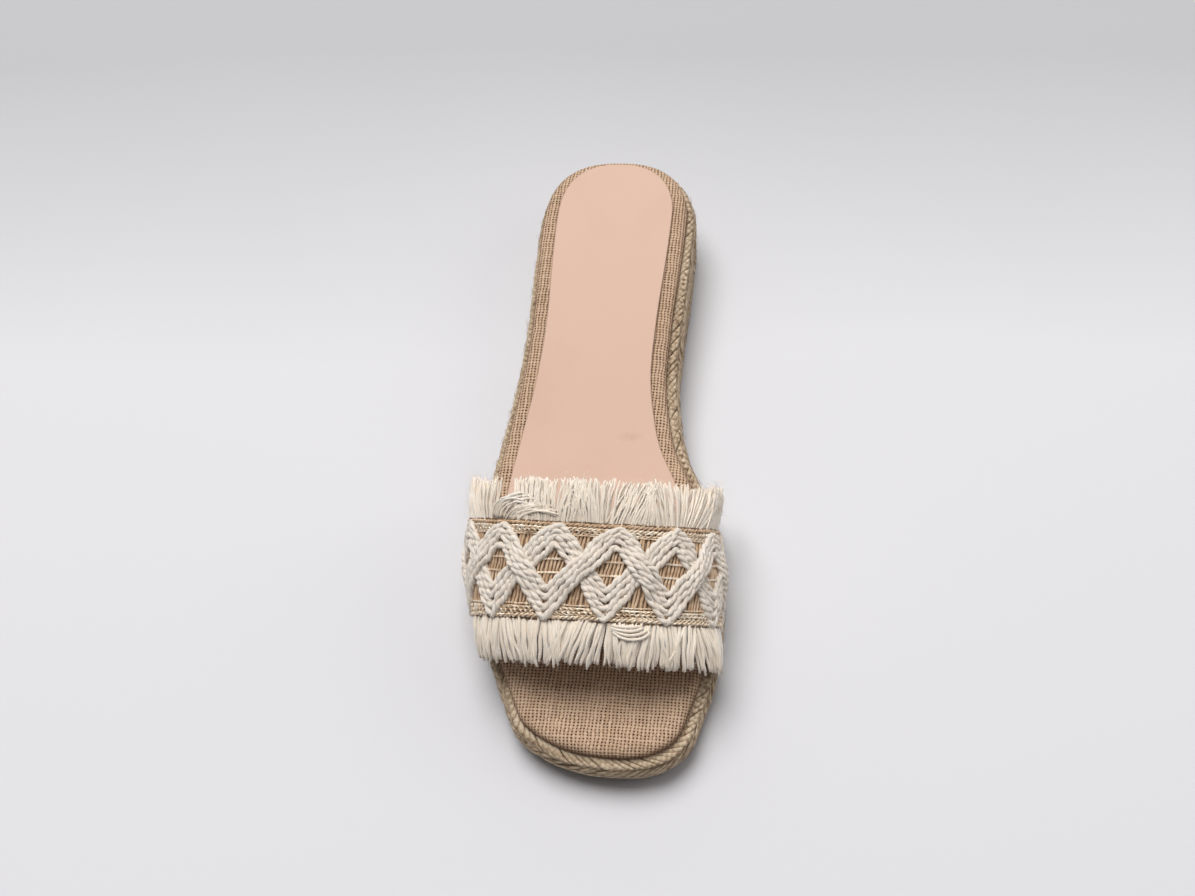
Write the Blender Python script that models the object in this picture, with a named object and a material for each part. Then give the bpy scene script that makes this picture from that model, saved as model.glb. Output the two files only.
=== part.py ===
"""An espadrille slide sandal for the right foot, with a fringed strap of woven trim.

The toe points along -Y, the arch (medial) side is +X, and the sole stands on z = 0. Lengths are in
metres. "Along" is the distance from the back of the footbed's rim towards the toe.
"""

from bisect import bisect_right
from collections import namedtuple
from functools import lru_cache
import math

import bmesh
import bpy
from mathutils import Vector

MM = 0.001

# The last: a row for each cross-section. Widths are from the centre line to the footbed's rim, and neck
# is how far the grooves of the plait stand out past that rim.
Section = namedtuple("Section", "along lateral medial top under neck")
LAST = [
    Section(*(value * MM for value in row))
    for row in (
        (-4, 25.2, 32.4, 36.1, 0.0, 0.8),
        (20, 26.2, 32.3, 35.5, 0.0, 0.8),
        (35, 27.3, 31.2, 34.8, 0.0, 0.9),
        (50, 27.9, 29.6, 33.8, 0.0, 1.2),
        (75, 28.8, 26.5, 31.2, 0.0, 1.8),
        (100, 31.6, 24.6, 28.0, 1.3, 2.1),
        (125, 36.4, 27.5, 24.2, 0.8, 2.2),
        (145, 40.3, 35.3, 21.4, 0.0, 2.2),
        (162, 42.0, 41.0, 19.5, 0.0, 2.2),
        (180, 41.3, 42.6, 18.2, 0.0, 2.2),
        (200, 37.6, 41.8, 17.8, 0.0, 2.2),
        (218, 31.2, 38.8, 18.2, 0.7, 2.2),
        (234, 24.9, 33.6, 19.1, 1.8, 2.2),
        (252, 18.0, 27.5, 20.4, 3.4, 2.2),
    )
]
RIM_LENGTH = 248.3 * MM
SHOE_MIDDLE = 124.6 * MM  # what lies at y = 0, half-way along the whole shoe

# An outline that follows the last: how far inside the rim it runs, where its heel starts, how deep and
# how square its heel's curve is, and where it is cut straight across, if it doesn't reach the toe.
Outline = namedtuple("Outline", "inset heel_tip heel_round heel_power end")
RIM = Outline(0.0, -1.3 * MM, 31 * MM, 2.5, None)
SOCK = Outline(6.0 * MM, 1.6 * MM, 26 * MM, 2.4, 186 * MM)
TOE_ROUND = 15 * MM
TOE_POWER = 3.2
TOE_TIP_ACROSS = 17 * MM  # the big toe's side reaches furthest
TOE_SLANT = 4.6  # per metre: how fast the front edge falls back from the tip

GAP = 0.3 * MM
OUTSOLE_THICK = 2.5 * MM
FOOTBED_THICK = 5.0 * MM
SOCK_THICK = 1.0 * MM

PLAIT_ROW = 9.6 * MM  # height of one row of jute plait
PLAIT_BULGE = 1.2 * MM  # how far a row's middle stands out past its grooves
PLAIT_SEAM = 5.2 * MM  # how far the jute wall reaches in under the footbed
SOLE_SHIFT = Vector((0.7 * MM, 0.6 * MM))  # the footbed sits this far off the sole's middle
PLAIT_ROWS = 3

# The strap: its feet stand beside the footbed, and its band leans towards the toe as it rises.
STRAP_WALL = 2.2 * MM
STRAP_REAR_FOOT = 159.5 * MM
STRAP_FRONT_FOOT = 198.5 * MM
STRAP_REAR_TOP = 62.5 * MM
STRAP_FRONT_TOP = 48.5 * MM
STRAP_SKEW = 2.4 * MM  # the medial foot is this far forward of the middle, the lateral one behind it
STRAP_LEAN_REAR = 0.47
STRAP_LEAN_FRONT = 0.41
STRAP_POWER = 2.7  # of the superellipse that the arch follows
STRAP_BULGE_LATERAL = 2.4 * MM  # how far the arch swells out past its feet
STRAP_BULGE_MEDIAL = 1.4 * MM
LEAN_LEVEL = 20 * MM
ARCH_STEPS = 120

CORD_PITCH = 21.8 * MM  # from one diamond to the next, along the band
CORD_SWING = 24.0 * MM  # from the rear turns to the front ones
CORD_WIDTH = 7.0 * MM
CORD_RISE = 1.5 * MM
CORD_UNDER = 0.8  # the zigzag that passes under the other stands this much of that rise
# Across a raised cord, from one side to the other: share of half its width, share of its rise.
CORD_PROFILE = ((-1, -0.6), (-0.94, 0.55), (-0.5, 1.0), (0.5, 1.0), (0.94, 0.55), (1, -0.6))
CORD_START = 8.2 * MM  # arc from the top of the arch to the nearest diamond
CORD_SHEAR = 3.9 * MM  # the front turns lie this far towards the lateral side
CORD_SHY = 5 * MM  # how far above the strap's feet the cords stop
CORD_TURNS = 5  # each way from the middle, before the ends are cut off
LIMB_STEPS = 4
BAND_WIDTH = 35.5 * MM

FRINGE_LENGTH = 16.0 * MM
FRINGE_THICK = 1.8 * MM
FRINGE_SUNK = 0.2 * MM  # how far its outer face lies below the band's
FRINGE_BAND = 3.5 * MM  # the solid strip that the locks hang from
FRINGE_SHY = 10.5 * MM  # how far above the feet the locks start
FRINGE_SAG_REAR = 0.02
FRINGE_SAG_FRONT = 0.2
FRINGE_DRIFT = 0.5 * MM  # how far a lock leans sideways, at most
FRINGE_RAGGED = 0.07  # share of its length by which a lock is longer or shorter than the mean
FRINGE_LOCKS = 26
# A lock's two stretches: share of its free length, then width and thickness at its end over its start.
LOCK_TAPER = ((0.5, 0.88, 1.0), (0.5, 0.6, 0.6))

CURVE_STEPS = 40
RIM_POINTS = 88
STRAP_COLUMNS = 36
STRAP_ROWS = 6


def clear_scene():
    for found in list(bpy.data.objects):
        bpy.data.objects.remove(found, do_unlink=True)


def last(column, along):
    """A monotone cubic through one column of LAST: it never overshoots, so flat stretches stay flat."""
    places = [row.along for row in LAST]
    values = [getattr(row, column) for row in LAST]
    at = min(max(bisect_right(places, along) - 1, 0), len(LAST) - 2)
    slopes = [
        (values[k + 1] - values[k]) / (places[k + 1] - places[k]) for k in range(len(LAST) - 1)
    ]

    def tangent(k):
        if k == 0 or k == len(LAST) - 1:
            return slopes[min(k, len(slopes) - 1)]
        before, after = slopes[k - 1], slopes[k]
        return 2 * before * after / (before + after) if before * after > 0 else 0.0

    span = places[at + 1] - places[at]
    t = min(max((along - places[at]) / span, 0.0), 1.0)
    return (
        values[at] * (1 + 2 * t) * (1 - t) ** 2
        + tangent(at) * span * t * (1 - t) ** 2
        + values[at + 1] * t * t * (3 - 2 * t)
        + tangent(at + 1) * span * t * t * (t - 1)
    )


def resample(points, count):
    """count + 1 points at equal distances along a line of points."""
    reach = [0.0]
    for a, b in zip(points, points[1:]):
        reach.append(reach[-1] + (b - a).length)
    spread = []
    for k in range(count + 1):
        want = reach[-1] * k / count
        at = min(max(bisect_right(reach, want) - 1, 0), len(points) - 2)
        share = (want - reach[at]) / (reach[at + 1] - reach[at])
        spread.append(points[at].lerp(points[at + 1], share))
    return spread


def rounded(angle, power):
    """How far in from the tip, and how far across, a superellipse's quarter is at an angle from its tip."""
    return 1 - math.cos(angle) ** (2 / power), math.sin(angle) ** (2 / power)


def across(side, along, share, inset):
    """The x of a point that is a share of the way out from the middle of the last to an outline."""
    lateral, medial = last("lateral", along) - inset, last("medial", along) - inset
    return (medial - lateral) / 2 + side * share * (medial + lateral) / 2


def outline_side(outline, side):
    """One side of an outline in plan (x, along), from the heel's tip to the toe's, or to where it is cut."""
    inset, heel_tip, heel_round, heel_power, end = outline
    line = []
    for k in range(CURVE_STEPS + 1):
        inward, out = rounded(math.pi / 2 * k / CURVE_STEPS, heel_power)
        along = heel_tip + heel_round * inward
        line.append(Vector((across(side, along, out, inset), along)))
    straight = heel_tip + heel_round
    toe_start = RIM_LENGTH - TOE_ROUND
    for k in range(1, CURVE_STEPS + 1):
        along = straight + ((end or toe_start) - straight) * k / CURVE_STEPS
        line.append(Vector((across(side, along, 1, inset), along)))
    for k in range(1, 1 if end else CURVE_STEPS + 1):
        inward, out = rounded(math.pi / 2 * (1 - k / CURVE_STEPS), TOE_POWER)
        x = across(side, RIM_LENGTH - TOE_ROUND * inward, out, inset)
        front = RIM_LENGTH - TOE_SLANT * max(TOE_TIP_ACROSS - x, 0) ** 2
        line.append(Vector((x, toe_start + (front - toe_start) * (1 - inward))))
    return resample(line, RIM_POINTS // 2)


@lru_cache(maxsize=None)
def ring_in_plan(outline, offset):
    """An outline in plan, moved out by offset: heel tip, medial side, toe, lateral side."""
    medial, lateral = outline_side(outline, 1), outline_side(outline, -1)
    line = medial + (lateral[:0:-1] if outline.end else lateral[-2:0:-1])
    half = RIM_POINTS // 2
    moved = []
    for k, point in enumerate(line):
        ahead = line[(k + 1) % len(line)] - line[k - 1]
        if outline.end and k in (half, half + 1):  # the ends of a cut outline move straight sideways
            ahead = Vector((0, 1 if k == half else -1))
        moved.append(point + offset * Vector((ahead.y, -ahead.x)).normalized())
    return moved


def placed(x, along, z):
    return Vector((x, SHOE_MIDDLE - along, z))


def material(name, colour, roughness):
    made = bpy.data.materials.new(name)
    made.use_nodes = True
    shader = made.node_tree.nodes["Principled BSDF"]
    shader.inputs["Base Color"].default_value = (*colour, 1.0)
    shader.inputs["Roughness"].default_value = roughness
    shader.inputs["Metallic"].default_value = 0.0
    return made


def make_object(name, mesh_maker, collection, finish=None):
    mesh = bpy.data.meshes.new(name)
    mesh_maker.to_mesh(mesh)
    mesh_maker.free()
    made = bpy.data.objects.new(name, mesh)
    if finish:
        mesh.materials.append(finish)
    collection.objects.link(made)
    return made


def ladder(maker, ring):
    """Closes a ring with rungs from one side to the other, so that the face follows the last lengthways."""
    left, right = 1, len(ring) - 1
    maker.faces.new((ring[0], ring[left], ring[right]))
    while right - left > 1:
        rung = [ring[left], ring[left + 1], ring[right - 1], ring[right]]
        if right - left == 2:
            rung.pop(2)
        maker.faces.new(rung)
        left, right = left + 1, right - 1


def faced_out(maker):
    bmesh.ops.recalc_face_normals(maker, faces=maker.faces)
    if maker.calc_volume(signed=True) < 0:
        bmesh.ops.reverse_faces(maker, faces=maker.faces)
    return maker


def loft(rings):
    """A closed body through rings of equal count."""
    maker = bmesh.new()
    loops = [[maker.verts.new(point) for point in ring] for ring in rings]
    for lower, upper in zip(loops, loops[1:]):
        for k in range(len(lower)):
            after = (k + 1) % len(lower)
            maker.faces.new((lower[k], lower[after], upper[after], upper[k]))
    ladder(maker, loops[0])
    ladder(maker, loops[-1])
    return faced_out(maker)


def layer_ring(offset, height, outline=RIM):
    """A ring of the last at an offset from an outline, height being a function of along."""
    return [placed(*point, height(point.y)) for point in ring_in_plan(outline, offset)]


def sole_ring(out, height):
    """A ring on the sole's wall: out, past the grooves of the plait, and height are functions of along."""
    ring = []
    for point, outward in zip(ring_in_plan(RIM, 0.0), ring_in_plan(RIM, 1.0)):
        along = (point + SOLE_SHIFT).y
        spot = point + SOLE_SHIFT + (outward - point) * (last("neck", along) + out(along))
        ring.append(placed(*spot, height(along)))
    return ring


def under(along):
    return last("under", along)


def outsole_top(along):
    return under(along) + OUTSOLE_THICK


def footbed_top(along):
    return last("top", along)


def footbed_bottom(along):
    return footbed_top(along) - FOOTBED_THICK


def plait_top(along):
    return footbed_bottom(along) - GAP


def make_outsole(collection):
    chamfer = 0.6 * MM
    rings = [
        sole_ring(lambda along: -chamfer, under),
        sole_ring(lambda along: 0, lambda along: under(along) + chamfer),
        sole_ring(lambda along: 0, outsole_top),
    ]
    rubber = material("outsole_rubber", (0.42, 0.31, 0.22), 0.8)
    return make_object("outsole", loft(rings), collection, rubber)


def row_edges(along):
    """Heights of the grooves between the rows of plait, top to bottom: the top row keeps its full height."""
    top, bottom = plait_top(along), outsole_top(along) + GAP
    full = min(PLAIT_ROW, 0.92 * (top - bottom))
    rest = (top - bottom - full) / (PLAIT_ROWS - 1)
    return [top] + [top - full - rest * k for k in range(PLAIT_ROWS)]


def plait_ring(row, down, out):
    """A ring on the jute wall, part of the way down a row: a row bulges in proportion to its height."""

    def depth(along):
        edges = row_edges(along)
        return edges[row] - edges[row + 1]

    return sole_ring(
        lambda along: PLAIT_BULGE * out * min(depth(along) / PLAIT_ROW, 1),
        lambda along: row_edges(along)[row] - depth(along) * down,
    )


def plait_rings():
    """The jute wall from its top edge down, row by row."""
    rings = [sole_ring(lambda along: -PLAIT_SEAM, plait_top)]
    profile = ((0.0, 0.0), (0.22, 0.75), (0.5, 1.0), (0.78, 0.75))
    for row in range(PLAIT_ROWS):
        rings += [plait_ring(row, down, out) for down, out in profile]
    rings.append(plait_ring(PLAIT_ROWS - 1, 1.0, 0.0))
    return rings


def make_midsole(collection):
    jute = material("jute_plait", (0.52, 0.40, 0.26), 0.9)
    return make_object("jute_midsole", loft(plait_rings()), collection, jute)


def make_footbed(collection):
    # How far in from the rim, and how far below the top, its rolled edge runs.
    roll = ((2.0, 5.0), (0.5, 4.4), (0.0, 3.0), (0.4, 1.5), (1.5, 0.45), (3.4, 0.0))
    rings = [
        layer_ring(-inward * MM, lambda along, drop=drop: footbed_top(along) - drop * MM)
        for inward, drop in roll
    ]
    burlap = material("burlap", (0.58, 0.40, 0.28), 0.9)
    return make_object("footbed", loft(rings), collection, burlap)


def make_sock(collection):
    pressed = 0.3 * MM  # how far in its flattened top edge starts
    levels = ((0.0, GAP), (0.0, SOCK_THICK), (pressed, GAP + SOCK_THICK))
    rings = [
        layer_ring(-inward, lambda along, up=up: footbed_top(along) + up, SOCK)
        for inward, up in levels
    ]
    leather = material("sock_leather", (0.76, 0.53, 0.41), 0.55)
    return make_object("insole_sock", loft(rings), collection, leather)


def strap_section(v):
    """The arch of the band's outer face at v, 0 at its rear edge and 1 at its front, lateral to medial."""
    foot = STRAP_REAR_FOOT + (STRAP_FRONT_FOOT - STRAP_REAR_FOOT) * v
    top = STRAP_REAR_TOP + (STRAP_FRONT_TOP - STRAP_REAR_TOP) * v
    lean = STRAP_LEAN_REAR + (STRAP_LEAN_FRONT - STRAP_LEAN_REAR) * v
    beside = GAP + STRAP_WALL
    lateral = last("lateral", foot - STRAP_SKEW) + beside
    medial = last("medial", foot + STRAP_SKEW) + beside
    middle, half = (medial - lateral) / 2, (medial + lateral) / 2
    line = []
    for k in range(ARCH_STEPS + 1):
        angle = math.pi * (k / ARCH_STEPS - 0.5)
        sideways = math.copysign(abs(math.sin(angle)) ** (2 / STRAP_POWER), angle)
        rise = max(math.cos(angle), 0) ** (2 / STRAP_POWER)
        base = footbed_bottom(foot + STRAP_SKEW * sideways)
        z = base + (top - base) * rise
        along = foot + STRAP_SKEW * sideways + lean * max(z - LEAN_LEVEL, 0)
        bulge = STRAP_BULGE_MEDIAL if angle > 0 else STRAP_BULGE_LATERAL
        out = half + bulge * math.sin(math.pi * min(rise, 1))
        line.append(placed(middle + out * sideways, along, z))
    return line


@lru_cache(maxsize=None)
def measured_section(v):
    """The section's points and each one's arc from the top of the arch, less than 0 on the lateral side."""
    line = strap_section(v)
    arcs = [0.0]
    for a, b in zip(line, line[1:]):
        arcs.append(arcs[-1] + (b - a).length)
    top = arcs[ARCH_STEPS // 2]
    return line, [arc - top for arc in arcs]


def on_section(arc, v):
    """(point, direction along the arch) at an arc from the top."""
    line, arcs = measured_section(v)
    at = min(max(bisect_right(arcs, arc) - 1, 0), len(line) - 2)
    share = (arc - arcs[at]) / (arcs[at + 1] - arcs[at])
    return line[at].lerp(line[at + 1], share), (line[at + 1] - line[at]).normalized()


def reach_of_arch(v):
    """How far the arc runs each way from the top, lateral and medial."""
    arcs = measured_section(v)[1]
    return arcs[0], arcs[-1]


def bent(arc, out, lift):
    """A flat spot of the trim, bent over the arch. Out is the distance in front of the rear edge, and
    may lie past either edge, where the fringe goes on from the band and sags towards its ends."""
    v = min(max(out / BAND_WIDTH, 0.0), 1.0)
    step = 0.02
    near, far = max(v - step, 0.0), min(v + step, 1.0)
    point, tangent = on_section(arc, v)
    forward = (on_section(arc, far)[0] - on_section(arc, near)[0]).normalized()
    normal = tangent.cross(forward).normalized()
    if normal.dot(point - Vector((0, point.y, 0))) < 0:
        normal.negate()
    past = out - v * BAND_WIDTH
    sag = (FRINGE_SAG_FRONT if past > 0 else FRINGE_SAG_REAR) * past * past / FRINGE_LENGTH
    return point + past * forward + lift * normal - Vector((0, 0, sag))


def bend(maker):
    """Takes a mesh drawn flat, as (arc, out, lift), over the arch."""
    for vert in maker.verts:
        vert.co = bent(*vert.co)
    return faced_out(maker)


def build_strap_wall(collection, trim):
    """The band itself, cut to end at its feet all along its slanted seat."""
    rings = []
    for column in range(STRAP_COLUMNS + 1):
        share = column / STRAP_COLUMNS
        ring = []
        for lift in (0.0, -STRAP_WALL):
            rows = range(STRAP_ROWS + 1)
            for row in rows if lift == 0 else reversed(rows):
                v = row / STRAP_ROWS
                lateral, medial = reach_of_arch(v)
                ring.append(Vector((lateral + (medial - lateral) * share, v * BAND_WIDTH, lift)))
        rings.append(ring)
    return make_object("strap", bend(loft(rings)), collection, trim)


def zigzag(phase):
    """A cord's middle line, flat, as (arc, out) points: its turns lie near each edge of the band in turn."""
    turns = []
    for k in range(-CORD_TURNS, CORD_TURNS):
        front = (k + phase) % 2
        arc = CORD_START + k * CORD_PITCH + CORD_SHEAR * (0.5 - front)
        turns.append(Vector((arc, BAND_WIDTH / 2 + CORD_SWING * (front - 0.5))))
    line = []
    for turn, following in zip(turns, turns[1:]):
        line += [turn.lerp(following, k / LIMB_STEPS) for k in range(LIMB_STEPS)]
    lateral, medial = reach_of_arch(1.0)
    return [p for p in line if lateral + CORD_SHY < p.x < medial - CORD_SHY]


def build_cord(name, phase, rise, collection):
    """One zigzag of cotton cords as a raised strip, with its corners mitred."""
    line = zigzag(phase)
    rings = []
    limbs = [(b - a).normalized() for a, b in zip(line, line[1:])]
    for k, spot_on_line in enumerate(line):
        before, after = limbs[max(k - 1, 0)], limbs[min(k, len(limbs) - 1)]
        side = Vector((-(before + after).y, (before + after).x)).normalized()
        mitre = 1 / max(side.dot(Vector((-after.y, after.x))), 0.5)
        ring = []
        for share, lift in CORD_PROFILE:
            spot = spot_on_line + side * (share * mitre * CORD_WIDTH / 2)
            ring.append(Vector((spot.x, spot.y, lift * rise)))
        rings.append(ring)
    made = make_object(name, bend(loft(rings)), collection)
    made.hide_render = True
    made.display_type = "WIRE"
    return made


def make_strap(collection, helpers):
    trim = material("woven_trim", (0.62, 0.47, 0.31), 0.75)
    strap = build_strap_wall(collection, trim)
    for name, phase, height in (("cord_over", 0, 1.0), ("cord_under", 1, CORD_UNDER)):
        union = strap.modifiers.new(name, "BOOLEAN")
        union.operation = "UNION"
        union.object = build_cord(name, phase, height * CORD_RISE, helpers)


def make_fringe(name, edge, way, collection, cotton):
    """A frayed edge: a narrow band along the trim's edge, with a tapering lock pulled out of each of its
    cells. Edge is its place in front of the rear edge, and way is 1 towards the toe and -1 to the heel."""
    lateral, medial = reach_of_arch(edge / BAND_WIDTH)
    low, high = lateral + FRINGE_SHY, medial - FRINGE_SHY
    maker = bmesh.new()
    grid = bmesh.ops.create_grid(maker, x_segments=FRINGE_LOCKS, y_segments=1, size=0.5)
    bmesh.ops.translate(maker, verts=grid["verts"], vec=(0, 0, -FRINGE_THICK - FRINGE_SUNK))
    slab = bmesh.ops.extrude_face_region(maker, geom=maker.faces[:])
    raised = [item for item in slab["geom"] if isinstance(item, bmesh.types.BMVert)]
    bmesh.ops.translate(maker, verts=raised, vec=(0, 0, FRINGE_THICK))
    for vert in maker.verts:
        vert.co.x = low + (high - low) * (vert.co.x + 0.5)
        vert.co.y = edge + way * (GAP if vert.co.y < 0 else FRINGE_BAND)
    outer = edge + way * FRINGE_BAND
    maker.faces.ensure_lookup_table()
    tips = [face for face in maker.faces if all(abs(v.co.y - outer) < GAP / 10 for v in face.verts)]
    tips.sort(key=lambda face: face.calc_center_median().x)
    for order, tip in enumerate(tips):
        ragged = 1 - FRINGE_RAGGED + FRINGE_RAGGED * math.sin(order * 2.4)
        length = FRINGE_LENGTH * ragged - FRINGE_BAND
        drift = FRINGE_DRIFT * math.sin(order * 1.7 + edge / BAND_WIDTH)
        for share, width, thick in LOCK_TAPER:
            tip = bmesh.ops.extrude_discrete_faces(maker, faces=[tip])["faces"][0]
            middle = tip.calc_center_median()
            for vert in tip.verts:
                vert.co.x = middle.x + (vert.co.x - middle.x) * width + drift * share
                vert.co.y += way * length * share
                vert.co.z = middle.z + (vert.co.z - middle.z) * thick
    return make_object(name, bend(maker), collection, cotton)


def main():
    clear_scene()
    sandal = bpy.data.collections.new("espadrille_slide")
    helpers = bpy.data.collections.new("helpers")
    bpy.context.scene.collection.children.link(sandal)
    bpy.context.scene.collection.children.link(helpers)
    make_outsole(sandal)
    make_midsole(sandal)
    make_footbed(sandal)
    make_sock(sandal)
    make_strap(sandal, helpers)
    cotton = material("cotton_fringe", (0.80, 0.75, 0.67), 0.9)
    make_fringe("fringe_rear", 0.0, -1, sandal, cotton)
    make_fringe("fringe_front", BAND_WIDTH, 1, sandal, cotton)


main()
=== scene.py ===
"""An espadrille slide for the right foot, dressed round its frame: a plaited jute wedge, a burlap footbed
with a smooth sock, and one woven strap with laid cotton cords and frayed edges. Lengths are in metres;
the toe points along -Y and the arch side is +X."""

from collections import namedtuple
import math

import bmesh
import bpy
import numpy as np
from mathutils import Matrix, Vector


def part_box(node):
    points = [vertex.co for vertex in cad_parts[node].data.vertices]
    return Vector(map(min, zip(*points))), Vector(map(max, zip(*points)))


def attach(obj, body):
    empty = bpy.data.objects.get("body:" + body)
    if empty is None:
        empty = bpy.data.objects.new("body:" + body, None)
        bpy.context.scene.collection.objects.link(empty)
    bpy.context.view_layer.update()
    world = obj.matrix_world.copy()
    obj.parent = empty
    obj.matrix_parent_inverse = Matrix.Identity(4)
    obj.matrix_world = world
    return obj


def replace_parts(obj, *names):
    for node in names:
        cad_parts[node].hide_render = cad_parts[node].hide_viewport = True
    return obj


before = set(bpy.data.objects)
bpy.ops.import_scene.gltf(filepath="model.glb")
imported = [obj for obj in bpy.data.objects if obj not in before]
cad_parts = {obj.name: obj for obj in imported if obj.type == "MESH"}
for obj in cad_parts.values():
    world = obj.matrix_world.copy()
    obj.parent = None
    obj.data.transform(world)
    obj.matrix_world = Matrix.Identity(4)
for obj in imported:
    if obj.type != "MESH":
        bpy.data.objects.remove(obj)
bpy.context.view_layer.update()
MM = 0.001


# ---- Studio ----
# The shoe stands alone on a pale matt sweep, under one broad soft light from above and behind its
# heel and a paler fill. The camera stands off the toe, looking down at it.
FLOOR_SIZE = 6.0
# Behind the shoe the floor is painted darker, as painted shade of the light falling off there.
FLOOR_COLOUR, FLOOR_BACK_SHADE = (0.71, 0.71, 0.74), (0.50, 0.50, 0.52)
FLOOR_TURN = (0.08, 0.25)  # where, along the shoe, the floor's colour goes over into its painted shade
FLOOR_FADE = (0.55, 1.3)  # how far off the floor goes over into a painted glow in the backdrop's colour
CAMERA_AT = (0.0465, -0.2813, 0.5239)
CAMERA_DOWN = 61.0  # degrees below level
CAMERA_LENS = 45.19
CAMERA_SHIFT = -0.105
SOFTBOXES = (
    # name, place, size, watts, colour
    ("key", (-0.35, 0.80, 2.5), 1.9, 65.5, (1.0, 0.985, 0.965)),
    ("fill", (1.8, 0.2, 1.3), 1.6, 6.0, (1.0, 0.97, 0.93)),
)
SKY_TOP = (0.0, 0.68, 0.73)  # the room is brightest overhead and behind the heel
SKY_LOW, SKY_HIGH = (0.040, 0.034, 0.028), (0.46, 0.465, 0.475)
BACKDROP = (0.80, 0.80, 0.83)  # what shows past the floor, and the colour the far floor glows in as painted light
BLACK = (0.0, 0.0, 0.0)


def put(name, data):
    """A new object that stands in the scene."""
    made = bpy.data.objects.new(name, data)
    bpy.context.scene.collection.objects.link(made)
    return made


def mesh_of(name, maker):
    mesh = bpy.data.meshes.new(name)
    maker.to_mesh(mesh)
    maker.free()
    return mesh


def new_material(name):
    """A material with an empty Principled shader, and its node tree."""
    made = bpy.data.materials.new(name)
    made.use_nodes = True
    return made, made.node_tree


def give(tree, socket, value):
    """Gives a socket its number, vector or colour, or links it to another socket."""
    if isinstance(value, bpy.types.NodeSocket):
        tree.links.new(value, socket)
    else:
        socket.default_value = (*value, 1.0) if socket.type == "RGBA" else value


def finished(made, inputs):
    """The material, once its shader has these inputs."""
    for key, value in inputs.items():
        give(made.node_tree, made.node_tree.nodes["Principled BSDF"].inputs[key], value)
    return made


def add(tree, kind, inputs=None, **properties):
    """A node with its properties set and its inputs given."""
    made = tree.nodes.new(kind)
    for name, value in properties.items():
        setattr(made, name, value)
    for key, value in (inputs or {}).items():
        give(tree, made.inputs[key], value)
    return made


def maths(tree, operation, *values):
    return add(tree, "ShaderNodeMath", dict(enumerate(values)), operation=operation).outputs[0]


def vectors(tree, operation, *values):
    made = add(tree, "ShaderNodeVectorMath", dict(enumerate(values)), operation=operation)
    return made.outputs["Value" if operation in ("LENGTH", "DOT_PRODUCT") else "Vector"]


def mixed(tree, share, first, second, blend="MIX"):
    """Two colours mixed, by a share of the second."""
    inputs = {0: share, 6: first, 7: second}
    return add(tree, "ShaderNodeMix", inputs, data_type="RGBA", blend_type=blend).outputs[2]


def noise(tree, place, scale, detail, output="Fac"):
    inputs = {"Vector": place, "Scale": scale, "Detail": detail}
    return add(tree, "ShaderNodeTexNoise", inputs).outputs[output]


def split(tree, vector):
    """The X, Y and Z of a vector."""
    return add(tree, "ShaderNodeSeparateXYZ", {0: vector}).outputs


def place_in(tree):
    """Where a point is, in metres of the shoe's frame."""
    return add(tree, "ShaderNodeTexCoord").outputs["Object"]


def ramp(tree, value, *stops):
    """A colour ramp through (place, colour) stops."""
    made = add(tree, "ShaderNodeValToRGB", {0: value})
    band = made.color_ramp.elements
    while len(band) < len(stops):
        band.new(0.5)
    for element, (place, colour) in zip(band, stops):
        element.position = place
        element.color = (*colour, 1.0)
    return made.outputs[0]


def floor_finish():
    made, tree = new_material("pale_floor")
    place = place_in(tree)
    shade = maths(tree, "MULTIPLY_ADD", noise(tree, place, 3.0, 2.0), 0.06, split(tree, place)["Y"])
    # The floor is painted darker behind the shoe: painted shade.
    colour = ramp(tree, shade, *zip(FLOOR_TURN, (FLOOR_COLOUR, FLOOR_BACK_SHADE)))
    fade = dict(enumerate((vectors(tree, "LENGTH", place), *FLOOR_FADE)))
    far = add(tree, "ShaderNodeMapRange", fade, interpolation_type="SMOOTHSTEP").outputs[0]
    finished(made, {"Base Color": mixed(tree, far, colour, BLACK), "Roughness": 0.9})
    # Far off, the floor turns black and glows in the backdrop's colour: painted light.
    glow = {"Emission Color": BACKDROP, "Emission Strength": far}
    return finished(made, {**glow, "Specular IOR Level": 0.2})


maker = bmesh.new()
bmesh.ops.create_grid(maker, x_segments=1, y_segments=1, size=FLOOR_SIZE / 2)
floor = put("floor", mesh_of("floor", maker))
floor.data.materials.append(floor_finish())

for name, place, size, watts, colour in SOFTBOXES:
    light = bpy.data.lights.new(name, "AREA")
    light.shape = "DISK"
    light.size = size
    light.energy = watts
    light.color = colour
    holder = put(name, light)
    holder.location = place
    holder.rotation_euler = (-Vector(place)).to_track_quat("-Z", "Y").to_euler()

world = bpy.data.worlds.new("studio")
world.use_nodes = True
room = world.node_tree
up = vectors(room, "DOT_PRODUCT", place_in(room), SKY_TOP)
sky = ramp(room, up, (0.0, SKY_LOW), (0.9, SKY_HIGH))
seen = add(room, "ShaderNodeLightPath").outputs["Is Camera Ray"]
give(room, room.nodes["Background"].inputs["Color"], mixed(room, seen, sky, BACKDROP))
bpy.context.scene.world = world
bpy.context.scene.view_settings.view_transform = "Standard"

lens = bpy.data.cameras.new("camera")
lens.sensor_width = 36.0
lens.lens = CAMERA_LENS
lens.shift_x = CAMERA_SHIFT
lens.clip_start = 0.02
camera = put("camera", lens)
camera.location = CAMERA_AT
camera.rotation_euler = (math.radians(90 - CAMERA_DOWN), 0, 0)
bpy.context.scene.camera = camera


# ---- Outsole ----
# A thin moulded tread of tan rubber, glued under the jute. Its underside carries fine cross ribs
# between plain bands, and it is matt with a little scuffing.
RUBBER_DARK, RUBBER_LIGHT = (0.20, 0.13, 0.08), (0.38, 0.27, 0.18)
TREAD_PITCH, TREAD_SLANT, TREAD_DEPTH = 4.0 * MM, 0.25, 0.6 * MM


def bumped(tree, height, strength, depth):
    inputs = {"Height": height, "Strength": strength, "Distance": depth}
    return add(tree, "ShaderNodeBump", inputs).outputs[0]


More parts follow.
